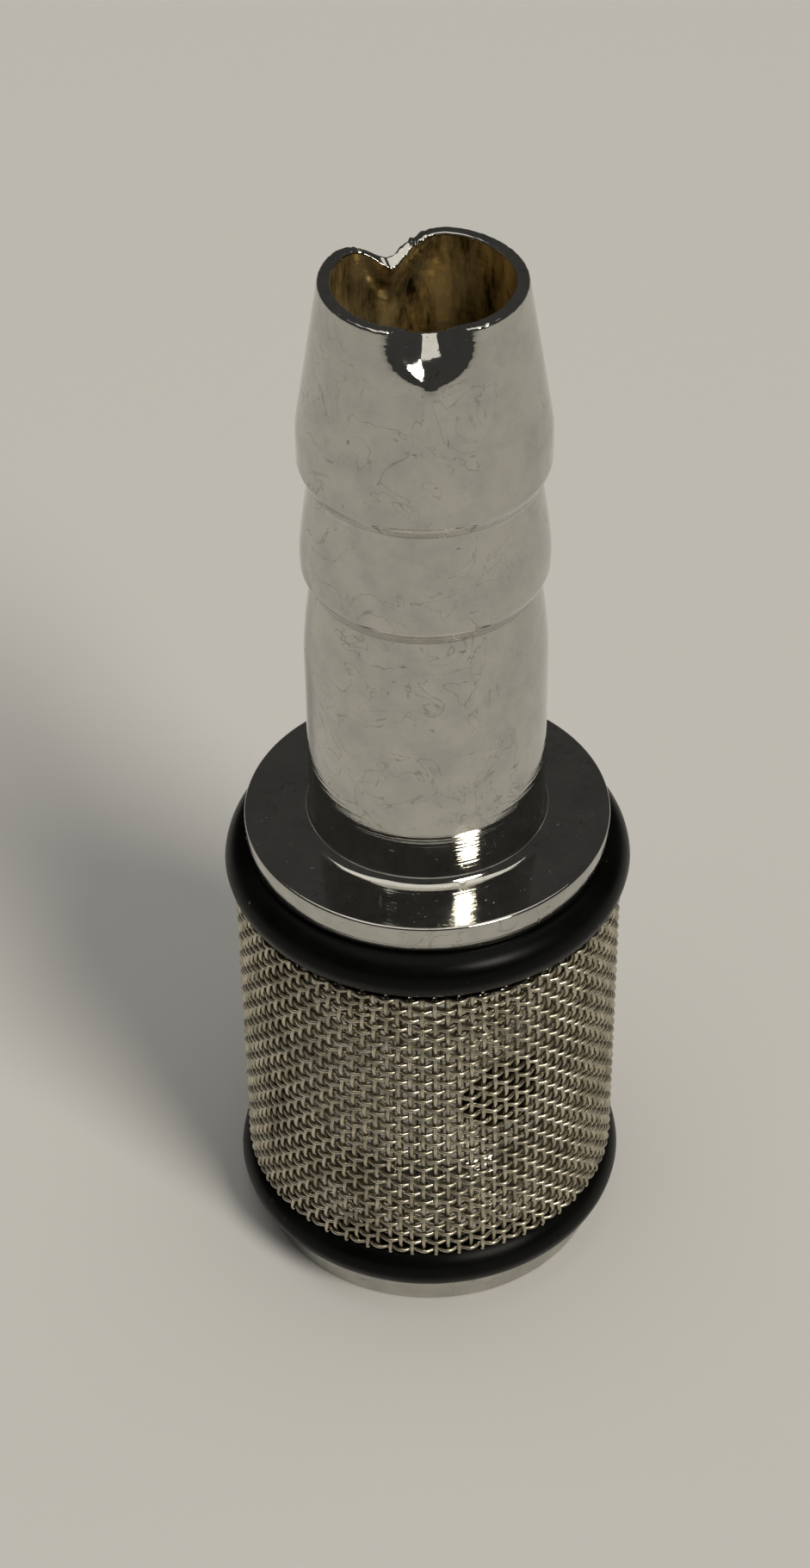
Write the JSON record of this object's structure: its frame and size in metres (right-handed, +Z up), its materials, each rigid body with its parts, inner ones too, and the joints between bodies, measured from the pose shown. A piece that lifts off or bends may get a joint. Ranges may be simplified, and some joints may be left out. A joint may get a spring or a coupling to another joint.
{
  "type": "hose tail strainer insert",
  "caption": "Chromed barbed hose tail on a strainer barrel with a woven wire screen, O-ring seals and a free check ball.",
  "frame": {"origin": "centre of the flat lower face of the lower flange", "axes": "+Z up the axis towards the mouth of the hose tail; -Y the front"},
  "size_m": [0.019, 0.019, 0.0533],
  "materials": {
    "chrome_plate": "polished",
    "black_rubber": "satin",
    "screen_wire": "satin",
    "solder": "satin",
    "ball_steel": "polished"
  },
  "bodies": {
    "body": {"hose_tail_body": "chrome_plate", "upper_o_ring": "black_rubber", "lower_o_ring": "black_rubber", "screen_warp_wires": "screen_wire", "screen_weft_wires": "screen_wire", "screen_seam": "solder"},
    "ball": {"check_ball": "ball_steel"}
  },
  "joints": [
    {"name": "ball_lift", "type": "slide", "parent": "body", "child": "ball", "axis": [0, 0, 1], "range_m": [0, 0.008]}
  ]
}
